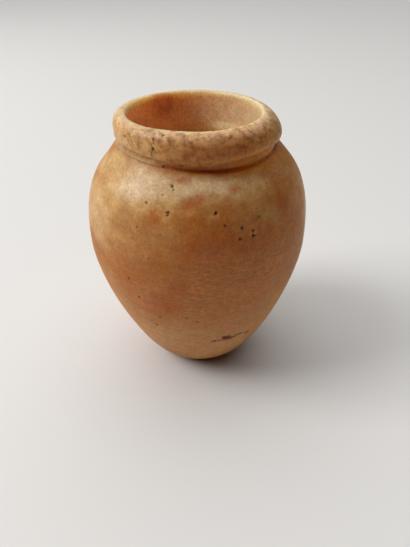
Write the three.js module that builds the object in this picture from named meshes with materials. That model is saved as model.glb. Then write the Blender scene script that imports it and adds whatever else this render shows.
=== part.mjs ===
// A small alabaster jar, carved from one block of stone: an egg-shaped body on a small flat foot,
// a thick rolled rim, a groove between rim and shoulder, and a hollow that opens through the wide
// mouth. Millimetres, +Z up, origin under the middle of the body at the foot's underside. An
// azimuth is in degrees from +X towards +Y, so the front is at -90.

import * as THREE from "three";

// Driving dimensions of the outside
const HEIGHT = 80; // foot to the front of the lip
const BELLY_RADIUS = 32;
const BELLY_LEVEL = 45.5; // height of the widest level
const FOOT_RADIUS = 11.5;
const FOOT_SLOPE = 8; // degrees above the ground at which the wall leaves the foot
const RIM_RADIUS = 22.2; // the rolled rim at its fullest
const RIM_LEVEL = 75.2; // height of the rim's fullest part
const NECK_RADIUS = 20.1; // bottom of the groove under the rim
const NECK_LEVEL = 71.8;
const ROLL_LEVEL = 72.9; // underside of the roll
const UNDERCUT = 75; // degrees by which the roll turns under before it meets the groove
const SHOULDER_RADIUS = 21.9; // where the shoulder turns in to the groove
const SHOULDER_LEVEL = 71.5;
const SHOULDER_SLOPE = 45; // degrees below the horizontal, just outside the groove

// Driving dimensions of the hollow
const LIP_RADIUS = 18.4; // crest of the lip
const LIP_ROUND = 1.4; // height of the rounding from the crest into the mouth
const MOUTH_RADIUS = 17.6; // bore through the rim
const LEDGE_RADIUS = 16.6; // narrowest part, a ledge left by the drill on one side
const LEDGE_LEVEL = 70.4;
const LEDGE_SLOPE = 2; // height over which the bore steps in to the ledge
const LEDGE_AZIMUTH = 25; // middle of the ledge
const LEDGE_FULL = 35; // degrees to each side of it with the full ledge
const LEDGE_SPREAD = 60; // degrees to each side at which it has run out
const LEDGE_REACH = 6; // height over which the wall below takes up its loss
const HOLLOW_RADIUS = 25;
const HOLLOW_LEVEL = 44; // height of the hollow's widest level
const FLOOR_LEVEL = 9.5; // inside floor above the foot

// Fullness of each curve: the length of the handle that leaves its end
const FOOT_FULLNESS = 9.3;
const LOWER_FULLNESS = 12;
const UPPER_FULLNESS = 18.9;
const SHOULDER_FULLNESS = 5.7;
const LEDGE_FULLNESS = 5;
const HOLLOW_FULLNESS = 17;
const FLOOR_FULLNESS = 10;

// Traces of handwork
const FRONT = -90;
const LEAN = 0.45; // how far foot and rim stand to the right of the belly
const BORE_SHIFT = 1.1; // how far the bore was drilled to the left of the rim's middle
const OUT_OF_ROUND = 0.15; // how much wider the belly is one way than across it
const WIDE_AZIMUTH = -20;
const NECK_WANDER = 0.5; // how far the groove rises and falls on its way round
const LOW_NECK_AZIMUTH = -65;
const NECK_REACH = 4; // height over which these moves fade out
const OPEN_NECK_AZIMUTH = -40; // where the groove is widest; opposite, the shoulder closes it
const OPEN_NECK_LIFT = 1; // how much higher the roll's underside is there
const OPEN_NECK_FILL = 0.9; // how much shallower the groove is there
const OPEN_NECK_SPREAD = 55; // degrees to each side at which it is as at the front
const CLOSING_NECK_START = 40; // degrees from there at which it starts to close
const CLOSED_NECK_START = 85; // and at which it is closed
const CLOSED_NECK_RISE = 0.8; // how much higher the shoulder comes on the closed side
const CLOSED_NECK_FILL = 1.6; // how much shallower the groove is on the closed side
const FILL_REACH = 1.6; // height above the groove over which it is shallower too
const LIP_TILT = 0.5; // how much the back of the lip stands above the front

// Facets
const SEGMENTS = 60;
const LOWER_STEPS = 13;
const UPPER_STEPS = 10;
const RIM_STEPS = 5;
const LIP_STEPS = 3;
const HOLLOW_STEPS = 8;

const { clamp, degToRad, radToDeg, smoothstep } = THREE.MathUtils;
const point = (radius, level) => new THREE.Vector2(radius, level);
const curve = (start, startHandle, endHandle, end, steps) =>
  new THREE.CubicBezierCurve(start, startHandle, endHandle, end).getPoints(steps);

// Points along an ellipse, between two angles in degrees from the outward horizontal.
function arc(radius, level, halfWidth, halfHeight, from, to, steps) {
  const start = degToRad(from);
  const end = degToRad(to);
  const clockwise = to < from;
  const ellipse = new THREE.EllipseCurve(
    radius, level, halfWidth, halfHeight, start, end, clockwise,
  );
  return ellipse.getPoints(steps);
}

// Lower wall, belly and shoulder, from the foot's edge up.
function bodyOutline() {
  const belly = point(BELLY_RADIUS, BELLY_LEVEL);
  const shoulder = point(SHOULDER_RADIUS, SHOULDER_LEVEL);
  const footSlope = degToRad(FOOT_SLOPE);
  const slope = degToRad(SHOULDER_SLOPE);
  const lower = curve(
    point(FOOT_RADIUS, 0),
    point(
      FOOT_RADIUS + FOOT_FULLNESS * Math.cos(footSlope),
      FOOT_FULLNESS * Math.sin(footSlope),
    ),
    point(BELLY_RADIUS, BELLY_LEVEL - LOWER_FULLNESS),
    belly,
    LOWER_STEPS,
  );
  const upper = curve(
    belly,
    point(BELLY_RADIUS, BELLY_LEVEL + UPPER_FULLNESS),
    point(
      SHOULDER_RADIUS + SHOULDER_FULLNESS * Math.cos(slope),
      SHOULDER_LEVEL - SHOULDER_FULLNESS * Math.sin(slope),
    ),
    shoulder,
    UPPER_STEPS,
  );
  return [...lower, ...upper.slice(1)];
}

// Groove, rolled rim and lip, up and over into the mouth.
function rimOutline() {
  const groove = point(NECK_RADIUS, NECK_LEVEL);
  const underside = arc(
    NECK_RADIUS,
    RIM_LEVEL,
    RIM_RADIUS - NECK_RADIUS,
    RIM_LEVEL - ROLL_LEVEL,
    -UNDERCUT,
    0,
    RIM_STEPS,
  );
  const top = arc(
    LIP_RADIUS, RIM_LEVEL, RIM_RADIUS - LIP_RADIUS, HEIGHT - RIM_LEVEL, 0, 90, RIM_STEPS,
  );
  const lip = arc(
    LIP_RADIUS, HEIGHT - LIP_ROUND, LIP_RADIUS - MOUTH_RADIUS, LIP_ROUND, 90, 180, LIP_STEPS,
  );
  return [groove, ...underside, ...top.slice(1), ...lip.slice(1)];
}

// Bore, ledge, inner wall and inside floor, from the mouth down to the axis.
function hollowOutline() {
  const widest = point(HOLLOW_RADIUS, HOLLOW_LEVEL);
  const upper = curve(
    point(LEDGE_RADIUS, LEDGE_LEVEL),
    point(LEDGE_RADIUS, LEDGE_LEVEL - LEDGE_FULLNESS),
    point(HOLLOW_RADIUS, HOLLOW_LEVEL + HOLLOW_FULLNESS),
    widest,
    HOLLOW_STEPS,
  );
  const lower = curve(
    widest,
    point(HOLLOW_RADIUS, HOLLOW_LEVEL - HOLLOW_FULLNESS),
    point(FLOOR_FULLNESS, FLOOR_LEVEL),
    point(0, FLOOR_LEVEL),
    HOLLOW_STEPS,
  );
  return [point(MOUTH_RADIUS, LEDGE_LEVEL + LEDGE_SLOPE), ...upper, ...lower.slice(1)];
}

// 1 at a level, fading smoothly to 0 within a reach above and below it.
const near = (level, centre, reach) => smoothstep(reach - Math.abs(level - centre), 0, reach);

// Degrees between two azimuths, whichever way round is shorter.
const apart = (azimuth, other) => radToDeg(Math.acos(Math.cos(degToRad(azimuth - other))));

// The turned outline moved a little, as hand-held tools leave it.
function handworked(place) {
  const radius = Math.hypot(place.x, place.y);
  const azimuth = radToDeg(Math.atan2(place.y, place.x));
  const turn = (centre, times) => Math.cos(times * degToRad(azimuth - centre));

  const onBelly = near(place.z, BELLY_LEVEL, BELLY_LEVEL);
  const behind = (1 - turn(FRONT, 1)) / 2;
  let growth = (OUT_OF_ROUND / 4) * turn(WIDE_AZIMUTH, 2) * onBelly;
  let lift = LIP_TILT * behind * smoothstep(place.z, RIM_LEVEL, HEIGHT);
  let shift = LEAN * (1 - onBelly);

  const outside = radius > LIP_RADIUS; // or deep in the hollow, out of the neck's reach
  if (outside) {
    const fromOpen = apart(azimuth, OPEN_NECK_AZIMUTH);
    const open = smoothstep(OPEN_NECK_SPREAD - fromOpen, 0, OPEN_NECK_SPREAD);
    const closed = smoothstep(fromOpen, CLOSING_NECK_START, CLOSED_NECK_START);
    const wander = CLOSED_NECK_RISE * closed - NECK_WANDER * turn(LOW_NECK_AZIMUTH, 2);
    const fill = CLOSED_NECK_FILL * closed + OPEN_NECK_FILL * open;
    const fillReach = place.z < NECK_LEVEL ? NECK_LEVEL - SHOULDER_LEVEL : FILL_REACH;
    lift += wander * near(place.z, NECK_LEVEL, NECK_REACH);
    growth += fill * near(place.z, NECK_LEVEL, fillReach);
    if (place.z > NECK_LEVEL) {
      lift += OPEN_NECK_LIFT * open * (1 - smoothstep(place.z, ROLL_LEVEL, RIM_LEVEL));
    }
    shift -= BORE_SHIFT * smoothstep(place.z, RIM_LEVEL, HEIGHT);
  } else {
    const gone = smoothstep(apart(azimuth, LEDGE_AZIMUTH), LEDGE_FULL, LEDGE_SPREAD);
    const slope = clamp((LEDGE_LEVEL + LEDGE_SLOPE - place.z) / LEDGE_SLOPE, 0, 1);
    const below = smoothstep(place.z, LEDGE_LEVEL - LEDGE_REACH, LEDGE_LEVEL);
    growth += (MOUTH_RADIUS - LEDGE_RADIUS) * gone * Math.min(slope, below);
    shift -= BORE_SHIFT * below;
  }

  const grown = radius > 0 ? (radius + growth) / radius : 1;
  return new THREE.Vector3(place.x * grown + shift, place.y * grown, place.z + lift);
}

function jar() {
  const outline = [point(0, 0), ...bodyOutline(), ...rimOutline(), ...hollowOutline()];
  const geometry = new THREE.LatheGeometry(outline, SEGMENTS);
  geometry.rotateX(Math.PI / 2);
  const places = geometry.getAttribute("position");
  for (let i = 0; i < places.count; i++) {
    const moved = handworked(new THREE.Vector3().fromBufferAttribute(places, i));
    places.setXYZ(i, moved.x, moved.y, moved.z);
  }
  geometry.computeVertexNormals();
  const alabaster = new THREE.MeshStandardMaterial({
    color: 0xc08a58,
    roughness: 0.42,
    metalness: 0,
  });
  const mesh = new THREE.Mesh(geometry, alabaster);
  mesh.name = "alabaster_jar";
  return mesh;
}

const vase = new THREE.Group();
vase.add(jar());

export default vase;
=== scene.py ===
import math
import random
from collections import namedtuple

import bmesh
import bpy
from mathutils import Euler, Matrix, Vector, geometry, kdtree, noise


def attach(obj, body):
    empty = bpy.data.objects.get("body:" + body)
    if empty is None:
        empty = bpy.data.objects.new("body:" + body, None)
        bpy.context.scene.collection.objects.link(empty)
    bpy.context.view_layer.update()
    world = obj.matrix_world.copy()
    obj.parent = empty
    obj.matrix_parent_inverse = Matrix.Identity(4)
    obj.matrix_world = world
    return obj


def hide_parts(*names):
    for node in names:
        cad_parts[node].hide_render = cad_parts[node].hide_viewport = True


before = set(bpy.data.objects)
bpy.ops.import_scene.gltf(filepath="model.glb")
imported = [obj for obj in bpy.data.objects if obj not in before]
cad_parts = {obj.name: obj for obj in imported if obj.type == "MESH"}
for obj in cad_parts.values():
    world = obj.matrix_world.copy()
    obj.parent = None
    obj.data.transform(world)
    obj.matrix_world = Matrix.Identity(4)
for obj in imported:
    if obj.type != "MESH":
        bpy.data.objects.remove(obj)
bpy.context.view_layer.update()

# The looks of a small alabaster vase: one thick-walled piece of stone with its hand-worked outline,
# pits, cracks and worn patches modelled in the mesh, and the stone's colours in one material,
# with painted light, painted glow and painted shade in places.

MM = 0.001

# Outline of the outside, as the solid has it
HEIGHT = 80 * MM
BELLY_RADIUS = 32 * MM
BELLY_LEVEL = 45.5 * MM
FOOT_RADIUS = 11.5 * MM
FOOT_SLOPE = math.radians(8)
RIM_RADIUS = 22.2 * MM
RIM_LEVEL = 75.2 * MM
NECK_RADIUS = 20.1 * MM
NECK_LEVEL = 71.8 * MM
ROLL_LEVEL = 72.9 * MM
UNDERCUT = 75
SHOULDER_RADIUS = 21.9 * MM
SHOULDER_LEVEL = 71.5 * MM
SHOULDER_SLOPE = math.radians(45)

# Outline of the hollow
LIP_RADIUS = 18.4 * MM
LIP_ROUND = 1.4 * MM
MOUTH_RADIUS = 17.6 * MM
LEDGE_RADIUS = 16.6 * MM
LEDGE_LEVEL = 70.4 * MM
LEDGE_SLOPE = 2 * MM
LEDGE_AZIMUTH = 25
LEDGE_FULL = 35
LEDGE_SPREAD = 60
LEDGE_REACH = 6 * MM
HOLLOW_RADIUS = 25 * MM
HOLLOW_LEVEL = 44 * MM
FLOOR_LEVEL = 9.5 * MM

# Lengths of the handles that make each curve full
FOOT_FULLNESS = 9.3 * MM
LOWER_FULLNESS = 12 * MM
UPPER_FULLNESS = 18.9 * MM
SHOULDER_FULLNESS = 5.7 * MM
LEDGE_FULLNESS = 5 * MM
HOLLOW_FULLNESS = 17 * MM
FLOOR_FULLNESS = 10 * MM

# Traces of handwork that the solid has too; azimuths in degrees, with the front at -90
FRONT = -90
LEAN = 0.45 * MM
BORE_SHIFT = 1.1 * MM
OUT_OF_ROUND = 0.15 * MM
WIDE_AZIMUTH = -20
NECK_WANDER = 0.5 * MM
LOW_NECK_AZIMUTH = -65
NECK_REACH = 4 * MM
OPEN_NECK_AZIMUTH = -40
OPEN_NECK_LIFT = 1 * MM
OPEN_NECK_FILL = 0.9 * MM
OPEN_NECK_SPREAD = 55
CLOSING_NECK_START = 40
CLOSED_NECK_START = 85
CLOSED_NECK_RISE = 0.8 * MM
CLOSED_NECK_FILL = 1.6 * MM
FILL_REACH = 1.6 * MM
LIP_TILT = 0.5 * MM

# Mesh: faces around, spacing of the rings, steps to measure a curve, and how near points count as one
SEGMENTS = 272
OUTSIDE_SPACING = 0.56 * MM
RIM_SPACING = 0.42 * MM
INSIDE_SPACING = 2.4 * MM
CURVE_SAMPLES = 32
TOLERANCE = 0.001 * MM

# Pits: azimuth, level, radius, depth in mm, and how much soil is left in them
PITS = (
    (-63, 59.4, 0.5, 0.7, 1.0),
    (-63, 58.5, 0.6, 0.8, 1.0),
    (-68.5, 60.5, 0.55, 0.6, 0.8),
    (-70, 58.6, 0.5, 0.6, 0.9),
    (-80, 64.5, 0.6, 0.7, 0.95),
    (-76, 62, 0.45, 0.5, 0.6),
    (-59.5, 62.4, 0.5, 0.4, 0.5),
    (-48, 68, 0.5, 0.4, 0.4),
    (-36.5, 55, 0.5, 0.4, 0.4),
    (-103, 69.1, 0.6, 0.5, 0.6),
    (-102, 68.7, 0.45, 0.4, 0.45),
    (-115, 65.5, 0.5, 0.4, 0.5),
    (-102.7, 64.6, 0.5, 0.6, 0.8),
    (-102.5, 63.9, 0.45, 0.5, 0.7),
    (-118, 60.4, 0.45, 0.4, 0.4),
    (-111.5, 53, 0.5, 0.5, 0.6),
    (-123, 45, 0.5, 0.5, 0.7),
    (-119.5, 39.4, 0.5, 0.5, 0.6),
    (-127.5, 28.5, 0.45, 0.4, 0.5),
    (-113, 28.4, 0.6, 0.5, 0.7),
    (-109.5, 32.7, 0.55, 0.4, 0.5),
    (-115, 26.2, 0.45, 0.4, 0.5),
    (-94.5, 34.2, 0.5, 0.4, 0.5),
    (-89.5, 33, 0.45, 0.4, 0.5),
    (-72.6, 21.7, 1.9, 0.25, 0.95),
    (-70.4, 21.9, 2.2, 0.3, 0.95),
    (-68, 21.6, 1.6, 0.25, 0.95),
    (-78.3, 21.1, 1.1, 0.2, 0.8),
    (-76, 21.3, 0.8, 0.2, 0.65),
    (-55.3, 20.4, 1, 0.3, 0.85),
    (-57, 20.8, 0.8, 0.2, 0.65),
    (-110.3, 79.3, 0.5, 0.3, 0.55),
    (-116.5, 76.5, 0.6, 0.5, 0.8),
    (-140, 77.4, 0.5, 0.4, 0.7),
    (-59, 72.8, 0.5, 0.4, 0.8),
    (-98, 72.6, 0.5, 0.4, 0.8),
    (-111, 73, 0.5, 0.4, 0.8),
)

# Cracks: half width, depth in mm, soil, then the azimuths and levels that each runs through
CRACKS = (
    (0.7, 0.25, 0.9, ((-68, 21.5), (-65.5, 21.5), (-63, 22), (-60.5, 21.8))),
    (0.36, 0.3, 0.5, ((-116, 78.5), (-116.6, 76.5), (-117, 74.4))),
    (0.3, 0.25, 0.4, ((-138, 78.4), (-135, 77.8), (-132, 76.8))),
)
CRACK_STEPS = 8

# Small pits strewn over the whole outside
STREWN_PITS = 130
STREWN_RADIUS = (0.22, 0.42)
STREWN_DEPTH = (0.12, 0.3)
STREWN_SOIL = (0.15, 0.6)
STREWN_LEVELS = (8, 79)
SEED = 11

Spot = namedtuple("Spot", "place radius depth soil")

# Colour and painted-light zones: azimuth, level, half width, half height in mm, tilt in degrees,
# strength
ZONES = {
    "cream": (
        (-130, 66.5, 17, 5.5, 18, 1.0),
        (-140, 69.5, 16, 4.5, 0, 0.95),
        (-150, 61, 10, 9, 0, 0.9),
        (-128, 60, 13, 7, 0, 0.45),
        (-84, 69.2, 11, 3.2, 0, 1.0),
        (-60, 68, 8, 3.5, 0, 0.65),
        (-58, 63, 8, 5, 0, 0.35),
        (-30, 66, 7, 6, 0, 0.35),
        (-12, 50, 5, 14, 0, 0.6),
        (95, 62, 16, 9, 15, 0.8),
        (30, 40, 12, 9, -20, 0.6),
        (150, 28, 14, 8, 10, 0.6),
    ),
    # Pale patches: a painted highlight on the shoulder, over stone a little paler there
    "pale": (
        (-119, 68.6, 8, 3, 10, 0.4),
        (-90, 69.3, 9, 2.5, 0, 0.4),
    ),
    "deep": (
        (-74, 57, 13, 4.5, 5, 0.75),
        (-82, 57, 20, 9, 0, 0.25),
        (-106, 40.5, 9, 4.5, 38, 1.0),
        (-97, 45, 6, 3, 35, 0.8),
        (-36, 61, 7, 9, 0, 0.45),
        (-120, 42, 10, 9, 0, 0.3),
        (20, 58, 14, 8, -10, 0.7),
        (120, 44, 15, 9, 12, 0.7),
    ),
    "tan": (
        (-88, 20, 26, 13, 0, 0.9),
        (-130, 27, 14, 13, 0, 0.6),
        (-45, 24, 14, 13, 0, 0.7),
        # Painted light: this tan patch at the right edge stands for floor light reflected onto the
        # shaded side
        (-20, 50, 9, 18, 0, 0.9),
        (30, 20, 22, 12, 0, 0.7),
        (140, 20, 22, 12, 0, 0.7),
    ),
    "worn": (
        (-68, 41, 21, 11, 0, 1.0),
        (-48, 45, 10, 9, 0, 0.7),
        (70, 26, 16, 8, 0, 0.7),
    ),
    # Painted glow: light shining through the thin neck on the right, and through the lower right side
    "painted_glow": (
        (-44, 72, 9, 2.1, 0, 1.0),
        (-38, 28, 5, 10, 0, 0.5),
    ),
    # Rust spots; the same layer also carries grime with painted shade in the groove under the rim
    "rust_and_shade": (
        (-97, 70.4, 1.8, 1.0, 0, 0.8),
        (-93.5, 66.5, 1.6, 1.4, 0, 0.85),
        (-89, 67.2, 2.4, 1.2, 20, 0.75),
        (-84, 67.8, 1.6, 0.9, 20, 0.5),
        (-110, 62.7, 1.6, 2.0, 0, 0.6),
        (-42, 63.3, 1.6, 2.4, 0, 0.8),
        (-69.5, 68.6, 1.4, 1.2, 0, 0.7),
        (-74, 66, 1.2, 1.4, 0, 0.4),
        (-66, 76, 6, 2.5, 0, 0.5),
        (-85, 75.8, 4.5, 2, 0, 0.4),
        (-105, 40.5, 5, 3, 38, 0.3),
        (-106, 71.8, 3, 1.2, 0, 0.6),
    ),
}
LAYERS = ("inside", "soil", "rim", "neck", *ZONES)

# Grime with painted shade in the groove under the rim, in the rust colour
GROOVE_GRIME_AND_SHADE_AZIMUTH = -82
GROOVE_GRIME_AND_SHADE_SPREAD = 45
GROOVE_GRIME_AND_SHADE_REACH = 1.1 * MM
GROOVE_GRIME_AND_SHADE_FULL = 1.2
GROOVE_GRIME_AND_SHADE_COVER = 0.5


def smooth(value):
    """0 below 0, 1 above 1, and a soft step between."""
    t = min(max(value, 0.0), 1.0)
    return t * t * (3 - 2 * t)


def near(level, centre, reach):
    """1 at a level, fading to 0 within a reach above and below it."""
    return smooth(1 - abs(level - centre) / reach)


def bezier(start, start_handle, end_handle, end, spacing):
    """Points of a curve in the outline's plane, about one spacing apart, without its first point."""
    knots = [Vector((x, 0, z)) for x, z in (start, start_handle, end_handle, end)]
    rough = geometry.interpolate_bezier(*knots, CURVE_SAMPLES)
    length = sum((b - a).length for a, b in zip(rough, rough[1:]))
    count = max(2, round(length / spacing))
    return geometry.interpolate_bezier(*knots, count + 1)[1:]


def arc(radius, level, half_width, half_height, start, end, spacing):
    """Points of part of an ellipse, between two angles in degrees, without its first point."""
    sweep = math.radians(end - start)
    length = abs(sweep) * (half_width + half_height) / 2
    count = max(2, round(length / spacing))
    angles = [math.radians(start) + sweep * i / count for i in range(1, count + 1)]
    return [
        Vector((radius + half_width * math.cos(a), 0, level + half_height * math.sin(a)))
        for a in angles
    ]


def line(start, end, spacing):
    """Points of a straight stretch, without its first point."""
    a, b = Vector((start[0], 0, start[1])), Vector((end[0], 0, end[1]))
    count = max(1, round((b - a).length / spacing))
    return [a.lerp(b, i / count) for i in range(1, count + 1)]


def outside_outline():
    """From the middle of the foot's underside up to the crest of the lip."""
    foot = (FOOT_RADIUS, 0)
    belly = (BELLY_RADIUS, BELLY_LEVEL)
    shoulder = (SHOULDER_RADIUS, SHOULDER_LEVEL)
    neck = (NECK_RADIUS, NECK_LEVEL)
    foot_handle = (
        FOOT_RADIUS + FOOT_FULLNESS * math.cos(FOOT_SLOPE),
        FOOT_FULLNESS * math.sin(FOOT_SLOPE),
    )
    shoulder_handle = (
        SHOULDER_RADIUS + SHOULDER_FULLNESS * math.cos(SHOULDER_SLOPE),
        SHOULDER_LEVEL - SHOULDER_FULLNESS * math.sin(SHOULDER_SLOPE),
    )
    points = [Vector((0, 0, 0))]
    points += line((0, 0), foot, INSIDE_SPACING)
    points += bezier(
        foot, foot_handle, (BELLY_RADIUS, BELLY_LEVEL - LOWER_FULLNESS), belly, OUTSIDE_SPACING
    )
    points += bezier(
        belly,
        (BELLY_RADIUS, BELLY_LEVEL + UPPER_FULLNESS),
        shoulder_handle,
        shoulder,
        OUTSIDE_SPACING,
    )
    points += line(shoulder, neck, RIM_SPACING)
    points += arc(
        NECK_RADIUS,
        RIM_LEVEL,
        RIM_RADIUS - NECK_RADIUS,
        RIM_LEVEL - ROLL_LEVEL,
        -UNDERCUT,
        0,
        RIM_SPACING,
    )
    points += arc(
        LIP_RADIUS, RIM_LEVEL, RIM_RADIUS - LIP_RADIUS, HEIGHT - RIM_LEVEL, 0, 90, RIM_SPACING
    )
    return points


def inside_outline():
    """From the crest of the lip down to the middle of the inside floor."""
    bore = (MOUTH_RADIUS, LEDGE_LEVEL + LEDGE_SLOPE)
    ledge = (LEDGE_RADIUS, LEDGE_LEVEL)
    widest = (HOLLOW_RADIUS, HOLLOW_LEVEL)
    lip_foot = (MOUTH_RADIUS, HEIGHT - LIP_ROUND)
    points = arc(
        LIP_RADIUS, lip_foot[1], LIP_RADIUS - MOUTH_RADIUS, LIP_ROUND, 90, 180, RIM_SPACING
    )
    points += line(lip_foot, bore, OUTSIDE_SPACING)
    points += line(bore, ledge, OUTSIDE_SPACING)
    points += bezier(
        ledge,
        (LEDGE_RADIUS, LEDGE_LEVEL - LEDGE_FULLNESS),
        (HOLLOW_RADIUS, HOLLOW_LEVEL + HOLLOW_FULLNESS),
        widest,
        INSIDE_SPACING,
    )
    points += bezier(
        widest,
        (HOLLOW_RADIUS, HOLLOW_LEVEL - HOLLOW_FULLNESS),
        (FLOOR_FULLNESS, FLOOR_LEVEL),
        (0, FLOOR_LEVEL),
        INSIDE_SPACING,
    )
    return points


def turned_vase():
    """The outline spun into a closed shell. The layer "inside" is 1 from the lip's crest inwards."""
    bm = bmesh.new()
    for name in LAYERS:
        bm.verts.layers.float.new(name)
    inside = bm.verts.layers.float["inside"]
    chain = []
    for within, points in ((0.0, outside_outline()), (1.0, inside_outline())):
        for point in points:
            vert = bm.verts.new(point)
            vert[inside] = within
            chain.append(vert)
    edges = [bm.edges.new(pair) for pair in zip(chain, chain[1:])]
    bmesh.ops.spin(
        bm,
        geom=chain + edges,
        cent=(0, 0, 0),
        axis=(0, 0, 1),
        angle=2 * math.pi,
        steps=SEGMENTS,
        use_merge=True,
    )
    bmesh.ops.remove_doubles(bm, verts=bm.verts, dist=TOLERANCE)
    bmesh.ops.recalc_face_normals(bm, faces=bm.faces)
    return bm


def azimuth_of(place):
    return math.degrees(math.atan2(place.y, place.x))


def turn(azimuth, centre, times=1):
    """The cosine of how far an azimuth lies from a centre, any number of times around."""
    return math.cos(times * math.radians(azimuth - centre))


def apart(azimuth, other):
    """Degrees between two azimuths, whichever way round is shorter."""
    return abs((azimuth - other + 180) % 360 - 180)


def neck_moves(azimuth, level):
    """How far the uneven groove moves a point of the outside out and up."""
    from_open = apart(azimuth, OPEN_NECK_AZIMUTH)
    closed = smooth((from_open - CLOSING_NECK_START) / (CLOSED_NECK_START - CLOSING_NECK_START))
    wander = CLOSED_NECK_RISE * closed - NECK_WANDER * turn(azimuth, LOW_NECK_AZIMUTH, 2)
    lift = wander * near(level, NECK_LEVEL, NECK_REACH)
    open_side = smooth(1 - from_open / OPEN_NECK_SPREAD)
    if level > NECK_LEVEL + TOLERANCE:
        below = 1 - smooth((level - ROLL_LEVEL) / (RIM_LEVEL - ROLL_LEVEL))
        lift += OPEN_NECK_LIFT * open_side * below
    reach = NECK_LEVEL - SHOULDER_LEVEL if level < NECK_LEVEL else FILL_REACH
    fill = CLOSED_NECK_FILL * closed + OPEN_NECK_FILL * open_side
    return fill * near(level, NECK_LEVEL, reach), lift


def ledge_loss(azimuth, level):
    """How far the bore's wall stands back where the ledge has run out."""
    gone = smooth((apart(azimuth, LEDGE_AZIMUTH) - LEDGE_FULL) / (LEDGE_SPREAD - LEDGE_FULL))
    slope = min(max((LEDGE_LEVEL + LEDGE_SLOPE - level) / LEDGE_SLOPE, 0), 1)
    below = smooth((level - LEDGE_LEVEL + LEDGE_REACH) / LEDGE_REACH)
    return (MOUTH_RADIUS - LEDGE_RADIUS) * gone * min(slope, below)


def handwork(bm):
    """Moves the turned outline as the solid's is: a lean, an oval belly, an uneven groove and lip."""
    inside = bm.verts.layers.float["inside"]
    neck = bm.verts.layers.float["neck"]
    for vert in bm.verts:
        place = vert.co
        radius = math.hypot(place.x, place.y)
        azimuth = azimuth_of(place)
        on_belly = near(place.z, BELLY_LEVEL, BELLY_LEVEL)
        behind = (1 - turn(azimuth, FRONT)) / 2
        growth = OUT_OF_ROUND / 4 * turn(azimuth, WIDE_AZIMUTH, 2) * on_belly
        lift = LIP_TILT * behind * smooth((place.z - RIM_LEVEL) / (HEIGHT - RIM_LEVEL))
        shift = LEAN * (1 - on_belly)
        if vert[inside]:
            growth += ledge_loss(azimuth, place.z)
            shift -= BORE_SHIFT * smooth((place.z - LEDGE_LEVEL) / LEDGE_REACH + 1)
        else:
            shift -= BORE_SHIFT * smooth((place.z - RIM_LEVEL) / (HEIGHT - RIM_LEVEL))
            out, up = neck_moves(azimuth, place.z)
            growth += out
            lift += up
            # The band at the groove that gets grime with painted shade
            vert[neck] = near(place.z, NECK_LEVEL, GROOVE_GRIME_AND_SHADE_REACH)
        grown = (radius + growth) / radius if radius else 1
        vert.co = (place.x * grown + shift, place.y * grown, place.z + lift)


class Outside:
    """Finds places on the outside of the vase by azimuth and level."""

    def __init__(self, bm):
        inside = bm.verts.layers.float["inside"]
        self.verts = [v for v in bm.verts if not v[inside] and v.co.z > 0]
        self.tree = kdtree.KDTree(len(self.verts))
        for i, vert in enumerate(self.verts):
            self.tree.insert(vert.co, i)
        self.tree.balance()
        on_front = [v for v in self.verts if apart(azimuth_of(v.co), FRONT) < 360 / SEGMENTS]
        self.rings = [(v.co.z, math.hypot(v.co.x, v.co.y)) for v in on_front]

    def place(self, azimuth, level_mm):
        """The place itself."""
        level = level_mm * MM
        _, radius = min(self.rings, key=lambda ring: abs(ring[0] - level))
        angle = math.radians(azimuth)
        guess = Vector((radius * math.cos(angle), radius * math.sin(angle), level))
        return self.tree.find(guess)[0]

    def normal(self, place):
        """The direction out of the stone at a place."""
        _, i, _ = self.tree.find(place)
        return self.verts[i].normal.copy()

    def within(self, place, reach):
        """Vertices within a reach of a place."""
        return [self.verts[i] for _, i, _ in self.tree.find_range(place, reach)]


def marked_spots(outside):
    """The pits that the photograph shows, and the cracks as rows of spots."""
    spots = [Spot(outside.place(a, z), r * MM, d * MM, soil) for a, z, r, d, soil in PITS]
    for half_width, depth, soil, path in CRACKS:
        for (start, start_level), (end, end_level) in zip(path, path[1:]):
            for i in range(CRACK_STEPS):
                t = i / CRACK_STEPS
                place = outside.place(
                    start + (end - start) * t, start_level + (end_level - start_level) * t
                )
                spots.append(Spot(place, half_width * MM, depth * MM, soil))
    return spots


def strewn_spots(outside):
    """Small pits at random places all over the outside."""
    draw = random.Random(SEED)
    return [
        Spot(
            outside.place(draw.uniform(-180, 180), draw.uniform(*STREWN_LEVELS)),
            draw.uniform(*STREWN_RADIUS) * MM,
            draw.uniform(*STREWN_DEPTH) * MM,
            draw.uniform(*STREWN_SOIL),
        )
        for _ in range(STREWN_PITS)
    ]


def refine(bm, spots, margin):
    """Splits the faces within a margin of each spot."""
    outside = Outside(bm)
    faces = set()
    for spot in spots:
        for vert in outside.within(spot.place, spot.radius + margin):
            faces.update(vert.link_faces)
    edges = {edge for face in faces for edge in face.edges}
    in_order = [edge for edge in bm.edges if edge in edges]
    bmesh.ops.subdivide_edges(bm, edges=in_order, cuts=1, use_grid_fill=True)
    bm.normal_update()


# Relief of the whole surface
SWELL_SIZE = 13 * MM
SWELL = 0.14 * MM
DIMPLE_SIZE = 3.2 * MM
DIMPLE = 0.03 * MM
SCRATCH_LENGTH = 2.8 * MM
SCRATCH_SPACING = 0.65 * MM
SCRATCH = 0.03 * MM
WORN_SCRATCH = 0.07 * MM


def unevenness(place, worn):
    """How far hand abrasion leaves a point above or below the turned form."""
    swell = SWELL * noise.noise(place / SWELL_SIZE)
    dimple = DIMPLE * noise.noise(place / DIMPLE_SIZE)
    streak = Vector((
        place.x / SCRATCH_LENGTH,
        place.y / SCRATCH_LENGTH,
        place.z / SCRATCH_SPACING,
    ))
    scratch = (SCRATCH + (WORN_SCRATCH - SCRATCH) * worn) * noise.noise(streak)
    return swell + dimple + scratch


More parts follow.
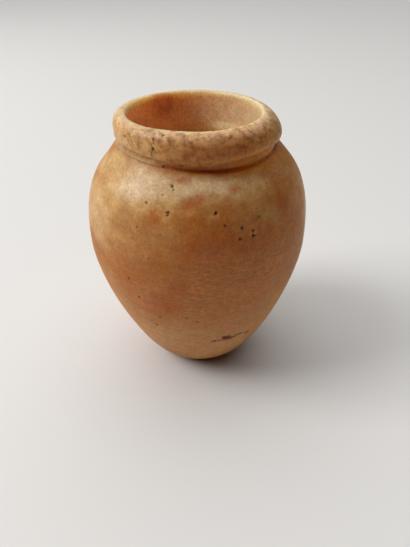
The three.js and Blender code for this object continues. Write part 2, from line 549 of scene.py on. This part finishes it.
def oval_distance(offset, across, up, half_width, half_height, tilt):
    """How far an offset lies from the middle of an oval patch, with 1 at its edge."""
    lean = math.radians(tilt)
    u, v = offset.dot(across), offset.dot(up)
    along = u * math.cos(lean) + v * math.sin(lean)
    over = v * math.cos(lean) - u * math.sin(lean)
    return math.hypot(along / (half_width * MM), over / (half_height * MM))


# Edges of the zones, as shares of a patch's half size
EDGE_WANDER = 0.5
EDGE_WANDER_SIZE = 0.9
EDGE_SOFTNESS = 1.2
ZONE_REACH = 2

# The noise that makes these edges wander
EDGE_SMOOTHNESS = 1
EDGE_STEP = 2
EDGE_OCTAVES = 3


def paint_zones(bm):
    """Gives each colour zone a vertex layer, from its patches."""
    outside = Outside(bm)
    up_axis = Vector((0, 0, 1))
    for name, patches in ZONES.items():
        layer = bm.verts.layers.float[name]
        for azimuth, level, half_width, half_height, tilt, strength in patches:
            centre = outside.place(azimuth, level)
            out = outside.normal(centre)
            across = up_axis.cross(out).normalized()
            up = out.cross(across)
            wander_size = EDGE_WANDER_SIZE * min(half_width, half_height) * MM
            reach = ZONE_REACH * max(half_width, half_height) * MM
            for vert in outside.within(centre, reach):
                distance = oval_distance(vert.co - centre, across, up, half_width, half_height, tilt)
                distance += EDGE_WANDER * noise.fractal(
                    vert.co / wander_size, EDGE_SMOOTHNESS, EDGE_STEP, EDGE_OCTAVES
                )
                weight = strength * smooth((1 - distance) / EDGE_SOFTNESS + 0.5)
                vert[layer] = max(vert[layer], weight)


# Where the rim and the hollow get painted light, specks or a stain
PAINTED_LIGHT_HOLLOW_AZIMUTH = 30
PAINTED_LIGHT_RIM_AZIMUTH = -165
SPECKLED_RIM_AZIMUTH = -62
PAINTED_LIGHT_LIP_HEIGHT = 2 * MM
PAINTED_LIGHT_RIM_HEIGHT = 4 * MM
RIM_START = 1.5 * MM
HOLLOW_STAIN = Vector((-9, 14.5, 77.5)) * MM
HOLLOW_STAIN_SIZE = 8 * MM

# How these fade from one side to the other, and how patchy they are
SIDE_CONTRAST = 0.8
HOLLOW_SIDE_MIDDLE = 0.35
HOLLOW_SIDE_AT_LEDGE = 0.3
RIM_SIDE_MIDDLE = 0.2
PATCH_SIZE = 4 * MM
HOLLOW_PATCHES = 0.25
STAIN_PATCHES = 0.8
RIM_PATCHES = 0.3

# The most that each of them covers
HOLLOW_PAINTED_LIGHT = 0.55
HOLLOW_STAIN_COVER = 0.5
INNER_LIP_PAINTED_LIGHT = 0.75
OUTER_LIP_PAINTED_LIGHT = 0.4
RIM_SPECKLED = 0.55
RIM_SPECKLED_SWING = 0.45
RIM_TOP_PAINTED_LIGHT = 0.75
RIM_SIDE_PAINTED_LIGHT = 0.85
RIM_LEAST_CREAM = 0.4


def paint_hollow(bm):
    """Painted light inside the lip and on the side that faces the light, and a stain on the other."""
    inside, cream, pale, deep = [
        bm.verts.layers.float[name] for name in ("inside", "cream", "pale", "deep")
    ]
    for vert in bm.verts:
        if not vert[inside]:
            continue
        wander = noise.noise(vert.co / PATCH_SIZE)
        # Painted light: the cream and pale coats on the side facing the window, fading out below the
        # ledge, and on the lip's crest
        facing = SIDE_CONTRAST * turn(azimuth_of(vert.co), PAINTED_LIGHT_HOLLOW_AZIMUTH)
        side = smooth(HOLLOW_SIDE_MIDDLE + facing + HOLLOW_PATCHES * wander)
        side *= smooth((vert.co.z - LEDGE_LEVEL) / LEDGE_REACH + HOLLOW_SIDE_AT_LEDGE)
        lip = smooth((vert.co.z - HEIGHT) / PAINTED_LIGHT_LIP_HEIGHT + 1)
        stain = smooth(1 - (vert.co - HOLLOW_STAIN).length / HOLLOW_STAIN_SIZE)
        vert[cream] = side
        vert[pale] = max(HOLLOW_PAINTED_LIGHT * side * side, INNER_LIP_PAINTED_LIGHT * lip)
        vert[deep] = HOLLOW_STAIN_COVER * smooth(stain + STAIN_PATCHES * wander * stain)


def paint_rim(bm):
    """Specks all round the rim, some cream stone with painted light on its top, its lit side and its
    lip, and grime with painted shade in the groove.
    """
    inside, cream, pale, rust_and_shade, rim, neck = [
        bm.verts.layers.float[name] for name in ("inside", "cream", "pale", "rust_and_shade", "rim", "neck")
    ]
    for vert in bm.verts:
        if vert[inside]:
            continue
        azimuth = azimuth_of(vert.co)
        patches = RIM_PATCHES * noise.noise(vert.co / PATCH_SIZE)
        on_rim = smooth((vert.co.z - NECK_LEVEL) / RIM_START)
        # Painted light: lighter on the rim's top, on its side towards the window and on the lip's
        # crest
        top = smooth((vert.co.z - RIM_LEVEL) / PAINTED_LIGHT_RIM_HEIGHT + patches)
        facing = SIDE_CONTRAST * turn(azimuth, PAINTED_LIGHT_RIM_AZIMUTH)
        lit = smooth(RIM_SIDE_MIDDLE + facing + patches)
        lip = smooth((vert.co.z - HEIGHT) / PAINTED_LIGHT_LIP_HEIGHT + 1)
        away = apart(azimuth, GROOVE_GRIME_AND_SHADE_AZIMUTH) / GROOVE_GRIME_AND_SHADE_SPREAD
        grime_and_shade = smooth(GROOVE_GRIME_AND_SHADE_FULL - away + patches)
        cream_and_painted_light = max(RIM_TOP_PAINTED_LIGHT * top, RIM_SIDE_PAINTED_LIGHT * lit, RIM_LEAST_CREAM)
        speckled = RIM_SPECKLED + RIM_SPECKLED_SWING * turn(azimuth, SPECKLED_RIM_AZIMUTH)
        vert[rim] = on_rim * speckled
        vert[cream] = max(vert[cream], cream_and_painted_light * on_rim)
        vert[pale] = max(vert[pale], OUTER_LIP_PAINTED_LIGHT * lip)
        # Grime with painted shade in the groove, darkest at the front
        vert[rust_and_shade] = max(vert[rust_and_shade], GROOVE_GRIME_AND_SHADE_COVER * grime_and_shade * vert[neck])


# Edges of pits and cracks, as shares of their radius
RAGGED = 0.5
RAGGED_SIZE = 0.6
RAGGED_LEAST = 0.45 * MM
SPOT_REACH = 1.5
SOIL_MARGIN = 0.15
FOOT_BLEND = 3 * MM


def relief(bm, spots):
    """Moves the surface in and out: unevenness all over, then pits and cracks with their soil."""
    inside, worn, soil = [bm.verts.layers.float[name] for name in ("inside", "worn", "soil")]
    outside = Outside(bm)
    depth = {}
    for spot in spots:
        ragged_size = max(RAGGED_LEAST, RAGGED_SIZE * spot.radius)
        for vert in outside.within(spot.place, spot.radius * SPOT_REACH):
            distance = (vert.co - spot.place).length / spot.radius
            distance += RAGGED * noise.noise(vert.co / ragged_size)
            depth[vert] = max(depth.get(vert, 0), spot.depth * smooth(1 - distance))
            vert[soil] = max(vert[soil], spot.soil * smooth(1 + SOIL_MARGIN - distance))
    moves = []
    for vert in bm.verts:
        low = smooth(vert.co.z / FOOT_BLEND)
        rough = 0 if vert[inside] else unevenness(vert.co, vert[worn])
        moves.append((vert, vert.normal * (low * rough - depth.get(vert, 0))))
    for vert, move in moves:
        vert.co += move


# Where the mesh is finer: around spots, and over the worn patch
SPOT_MARGIN = 1.5 * MM
FINE_MARGIN = 0.5 * MM
WORN_PLACE = ZONES["worn"][0][:2]
WORN_RADIUS = 15 * MM


def vase():
    """The whole vase as one closed piece, in place of the solid."""
    bm = turned_vase()
    handwork(bm)
    bm.normal_update()
    outside = Outside(bm)
    marked = marked_spots(outside)
    strewn = strewn_spots(outside)
    worn = Spot(outside.place(*WORN_PLACE), WORN_RADIUS, 0, 0)
    refine(bm, marked + strewn + [worn], SPOT_MARGIN)
    refine(bm, marked, FINE_MARGIN)
    paint_zones(bm)
    paint_hollow(bm)
    paint_rim(bm)
    relief(bm, marked + strewn)
    mesh = bpy.data.meshes.new("vase")
    bm.to_mesh(mesh)
    bm.free()
    mesh.shade_smooth()
    piece = bpy.data.objects.new("vase", mesh)
    bpy.context.scene.collection.objects.link(piece)
    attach(piece, "root")
    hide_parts("alabaster_jar")
    return piece


def linear(colour):
    """An sRGB hex colour as linear red, green, blue and alpha."""
    channels = [int(colour[i : i + 2], 16) / 255 for i in (1, 3, 5)]
    return (*[c / 12.92 if c <= 0.04045 else ((c + 0.055) / 1.055) ** 2.4 for c in channels], 1)


def add(tree, kind, inputs, out=0, **settings):
    """Adds a node and gives one of its outputs. An input is a value, a hex colour or an output."""
    node = tree.nodes.new(kind)
    for name, value in settings.items():
        setattr(node, name, value)
    for name, value in inputs.items():
        socket = node.inputs[name]
        if isinstance(value, bpy.types.NodeSocket):
            tree.links.new(value, socket)
        else:
            socket.default_value = linear(value) if isinstance(value, str) else value
    return node.outputs[out]


# Colours of the stone
HONEY = "#b26e28"
CLOUD_LIGHT = "#c08c48"
SPECK = "#70421e"
SOIL = "#542408"

# Noise patterns of the stone: size around and upwards in mm, and detail
PATTERNS = {
    "cloud": (9, 9, 4),
    "band": (28, 3.5, 3),
    "mottle": (2.6, 2.6, 4),
    "grain": (0.7, 0.7, 2),
    "speckle": (1.8, 1.5, 4),
    "scratch": (1.9, 0.45, 2),
}

# How rough the patterns are, and the span of their values that is put to use
PATTERN_ROUGHNESS = 0.55
PATTERN_RANGE = {"From Min": 0.3, "From Max": 0.7}
CLOUD_RANGE = {"From Min": 0.5, "From Max": 0.75, "To Max": 0.6}

# Colours over the honey: zone, colour, the pattern that breaks it up, and its weight where that is
# low and where it is high
COATS = (
    ("inside", "#e8c088", "cloud", 0.85, 1.0),
    ("tan", "#c8905a", "mottle", 0.7, 1.0),
    ("cream", "#d4ae74", "mottle", 0.65, 1.0),
    # The pale coat is painted light: the shoulder's highlight over slightly paler stone, the hollow's
    # lit side and the lip's crest
    ("pale", "#ead6b4", "mottle", 0.75, 1.0),
    ("rim", "#84501f", "speckle", -0.5, 0.95),
    ("deep", "#b25a1e", "mottle", 1.0, 0.7),
    ("worn", "#be7a44", "scratch", 0.6, 1.0),
    # The painted glow coat: an orange glow where light shines through the stone
    ("painted_glow", "#d88e20", "mottle", 0.6, 1.0),
    # Rust, and grime with painted shade in the groove
    ("rust_and_shade", "#ac5208", "mottle", 0.4, 1.0),
)

# Shading by patterns: the pattern, and the brightness where it is low and where it is high
SHADES = (("grain", 0.84, 1.14), ("mottle", 0.92, 1.07), ("band", 0.93, 1.07))
WORN_STREAK = 0.16

# Polish, as roughness
POLISHED = 0.36
UNPOLISHED = 0.56
DULL = (("worn", 0.65), ("soil", 0.95))
GRAIN_BUMP = 0.15
GRAIN_DEPTH = 0.1 * MM

# Brown specks: spacing in mm, size as a share of the spacing, strength on the body and on the rim
SPECK_SPACING = 1.5
SPECK_CORE = 0.1
SPECK_EDGE = 0.34
BODY_SPECKS = 0.15
RIM_SPECKS = 0.4


# How the stone takes the light: a dim gloss, and light that goes through it, red the furthest
STONE = {
    "IOR": 1.53,
    "Specular IOR Level": 0.25,
    "Subsurface Weight": 0.85,
    "Subsurface Radius": (0.85, 0.55, 0.24),
    "Subsurface Scale": 9 * MM,
}


def stone_patterns(tree, place):
    """The noise patterns by name, each at its size."""
    patterns = {}
    for name, (around, upwards, detail) in PATTERNS.items():
        scale = (1 / (around * MM), 1 / (around * MM), 1 / (upwards * MM))
        stretched = add(tree, "ShaderNodeMapping", {"Vector": place, "Scale": scale})
        patterns[name] = add(
            tree,
            "ShaderNodeTexNoise",
            {"Vector": stretched, "Scale": 1, "Detail": detail, "Roughness": PATTERN_ROUGHNESS},
        )
    return patterns


def clouded_and_coated(tree, zones, patterns):
    """Honey stone with lighter clouds, under the colour of each zone."""
    clouds = add(
        tree,
        "ShaderNodeMapRange",
        {"Value": patterns["cloud"], **CLOUD_RANGE},
        interpolation_type="SMOOTHSTEP",
    )
    colour = add(
        tree, "ShaderNodeMix", {0: clouds, 6: HONEY, 7: CLOUD_LIGHT}, 2, data_type="RGBA"
    )
    for zone, coat, pattern, low, high in COATS:
        broken = add(
            tree,
            "ShaderNodeMapRange",
            {"Value": patterns[pattern], **PATTERN_RANGE, "To Min": low, "To Max": high},
        )
        amount = add(tree, "ShaderNodeMath", {0: zones[zone], 1: broken}, operation="MULTIPLY")
        colour = add(tree, "ShaderNodeMix", {0: amount, 6: colour, 7: coat}, 2, data_type="RGBA")
    return colour


def specked(tree, zones, place, colour):
    """Brown specks of any strength, stronger on the rim."""
    scale = 1 / (SPECK_SPACING * MM)
    distance = add(tree, "ShaderNodeTexVoronoi", {"Vector": place, "Scale": scale}, "Distance")
    chance = distance.node.outputs["Color"]
    spots = add(
        tree,
        "ShaderNodeMapRange",
        {"Value": distance, "From Min": SPECK_CORE, "From Max": SPECK_EDGE, "To Min": 1, "To Max": 0},
    )
    most = add(
        tree,
        "ShaderNodeMapRange",
        {"Value": zones["rim"], "To Min": BODY_SPECKS, "To Max": RIM_SPECKS},
    )
    strength = add(tree, "ShaderNodeMath", {0: chance, 1: most}, operation="MULTIPLY")
    amount = add(tree, "ShaderNodeMath", {0: spots, 1: strength}, operation="MULTIPLY")
    return add(tree, "ShaderNodeMix", {0: amount, 6: colour, 7: SPECK}, 2, data_type="RGBA")


def shaded(tree, zones, patterns, colour):
    """Lighter and darker by grain, mottle and bands, and by streaks where the stone is worn."""
    streak = add(
        tree,
        "ShaderNodeMapRange",
        {"Value": patterns["scratch"], **PATTERN_RANGE, "To Min": -WORN_STREAK, "To Max": WORN_STREAK},
    )
    shade = add(
        tree, "ShaderNodeMath", {0: streak, 1: zones["worn"], 2: 1}, operation="MULTIPLY_ADD"
    )
    for pattern, low, high in SHADES:
        step = add(
            tree,
            "ShaderNodeMapRange",
            {"Value": patterns[pattern], **PATTERN_RANGE, "To Min": low, "To Max": high},
        )
        shade = add(tree, "ShaderNodeMath", {0: shade, 1: step}, operation="MULTIPLY")
    return add(tree, "ShaderNodeVectorMath", {0: colour, "Scale": shade}, operation="SCALE")


def stone_roughness(tree, zones):
    """Smooth where the cream stone kept its polish, and dull where it is worn or soiled."""
    roughness = add(
        tree,
        "ShaderNodeMapRange",
        {"Value": zones["cream"], "To Min": UNPOLISHED, "To Max": POLISHED},
    )
    for zone, dull in DULL:
        rough = add(tree, "ShaderNodeMath", {0: zones[zone], 1: dull}, operation="MULTIPLY")
        roughness = add(tree, "ShaderNodeMath", {0: roughness, 1: rough}, operation="MAXIMUM")
    return roughness


def alabaster():
    """Calcite alabaster, carved and rubbed smooth: waxy, slightly see-through, clouded from cream to
    deep honey, with brown specks, and dull where the polish has weathered away; with painted light on
    the rim, lip, hollow and shoulder, painted glow at the neck and low on the right, and painted shade
    in the groove."""
    material = bpy.data.materials.new("calcite_alabaster")
    material.use_nodes = True
    tree = material.node_tree
    place = add(tree, "ShaderNodeTexCoord", {}, "Object")
    zones = {
        name: add(tree, "ShaderNodeAttribute", {}, "Fac", attribute_name=name)
        for name in LAYERS
        if name != "neck"
    }
    patterns = stone_patterns(tree, place)
    colour = clouded_and_coated(tree, zones, patterns)
    colour = specked(tree, zones, place, colour)
    colour = shaded(tree, zones, patterns, colour)
    colour = add(
        tree, "ShaderNodeMix", {0: zones["soil"], 6: colour, 7: SOIL}, 2, data_type="RGBA"
    )
    grain = add(
        tree,
        "ShaderNodeBump",
        {"Height": patterns["grain"], "Strength": GRAIN_BUMP, "Distance": GRAIN_DEPTH},
    )
    shader = tree.nodes["Principled BSDF"].inputs
    tree.links.new(colour, shader["Base Color"])
    tree.links.new(stone_roughness(tree, zones), shader["Roughness"])
    tree.links.new(grain, shader["Normal"])
    for name, value in STONE.items():
        shader[name].default_value = value
    return material


# Camera: where the photograph was taken from, in the vase's frame
CAMERA_PLACE = Vector((2.2, -113.2, 110.5)) * MM
CAMERA_PITCH = math.radians(36.45)
SENSOR = 36
FOCAL_PIXELS = 420
FRAME_PIXELS = 547
NEAREST = 5 * MM
FURTHEST = 20


def camera():
    data = bpy.data.cameras.new("camera")
    data.sensor_width = SENSOR
    data.lens = SENSOR * FOCAL_PIXELS / FRAME_PIXELS
    data.clip_start = NEAREST
    data.clip_end = FURTHEST
    eye = bpy.data.objects.new("camera", data)
    eye.location = CAMERA_PLACE
    eye.rotation_euler = Euler((math.pi / 2 - CAMERA_PITCH, 0, 0))
    bpy.context.scene.collection.objects.link(eye)
    bpy.context.scene.camera = eye


# Floor: a wide sheet of matt white paper
PAPER = "#e2e0dd"
PAPER_ROUGHNESS = 0.8
FLOOR_RADIUS = 4
FLOOR_SIDES = 64


def floor():
    mesh = bpy.data.meshes.new("floor")
    bm = bmesh.new()
    bmesh.ops.create_circle(bm, cap_ends=True, segments=FLOOR_SIDES, radius=FLOOR_RADIUS)
    bm.to_mesh(mesh)
    bm.free()
    piece = bpy.data.objects.new("floor", mesh)
    bpy.context.scene.collection.objects.link(piece)
    paper = bpy.data.materials.new("white_paper")
    paper.use_nodes = True
    shader = paper.node_tree.nodes["Principled BSDF"]
    shader.inputs["Base Color"].default_value = linear(PAPER)
    shader.inputs["Roughness"].default_value = PAPER_ROUGHNESS
    mesh.materials.append(paper)


# Light: a soft dome that is brightest overhead and behind, and a window on the left
WINDOW_AZIMUTH = math.radians(187)
WINDOW_ELEVATION = math.radians(42)
WINDOW_DISTANCE = 1.4
WINDOW_WIDTH = 0.6
WINDOW_HEIGHT = 0.8
WINDOW_POWER = 12
DOME_AXIS = Vector((-0.18, 0.42, 0.87))
DOME_BRIGHT = 1.65
DOME_DARK = 0
DOME_DARK_AT = 0.32
BACKDROP = "#e0deda"


def window():
    data = bpy.data.lights.new("window", "AREA")
    data.shape = "RECTANGLE"
    data.size = WINDOW_WIDTH
    data.size_y = WINDOW_HEIGHT
    data.energy = WINDOW_POWER
    lamp = bpy.data.objects.new("window", data)
    away = Vector((
        math.cos(WINDOW_AZIMUTH) * math.cos(WINDOW_ELEVATION),
        math.sin(WINDOW_AZIMUTH) * math.cos(WINDOW_ELEVATION),
        math.sin(WINDOW_ELEVATION),
    ))
    lamp.location = away * WINDOW_DISTANCE + Vector((0, 0, HEIGHT / 2))
    lamp.rotation_euler = away.to_track_quat("Z", "Y").to_euler()
    bpy.context.scene.collection.objects.link(lamp)


def dome():
    """A soft light from above and behind, seen by the camera as a pale backdrop."""
    world = bpy.data.worlds.new("dome")
    world.use_nodes = True
    tree = world.node_tree
    direction = add(tree, "ShaderNodeTexCoord", {}, "Generated")
    along = add(
        tree,
        "ShaderNodeVectorMath",
        {0: direction, 1: DOME_AXIS.normalized()},
        "Value",
        operation="DOT_PRODUCT",
    )
    strength = add(
        tree,
        "ShaderNodeMapRange",
        {"Value": along, "From Min": DOME_DARK_AT, "To Min": DOME_DARK, "To Max": DOME_BRIGHT},
        interpolation_type="SMOOTHSTEP",
    )
    light = add(tree, "ShaderNodeBackground", {"Strength": strength})
    backdrop = add(tree, "ShaderNodeBackground", {"Color": BACKDROP})
    to_camera = add(tree, "ShaderNodeLightPath", {}, "Is Camera Ray")
    both = add(tree, "ShaderNodeMixShader", {0: to_camera, 1: light, 2: backdrop})
    tree.links.new(both, tree.nodes["World Output"].inputs["Surface"])
    bpy.context.scene.world = world


jar = vase()
jar.data.materials.append(alabaster())
floor()
window()
dome()
camera()
bpy.context.scene.view_settings.view_transform = "Standard"

bpy.context.view_layer.update()
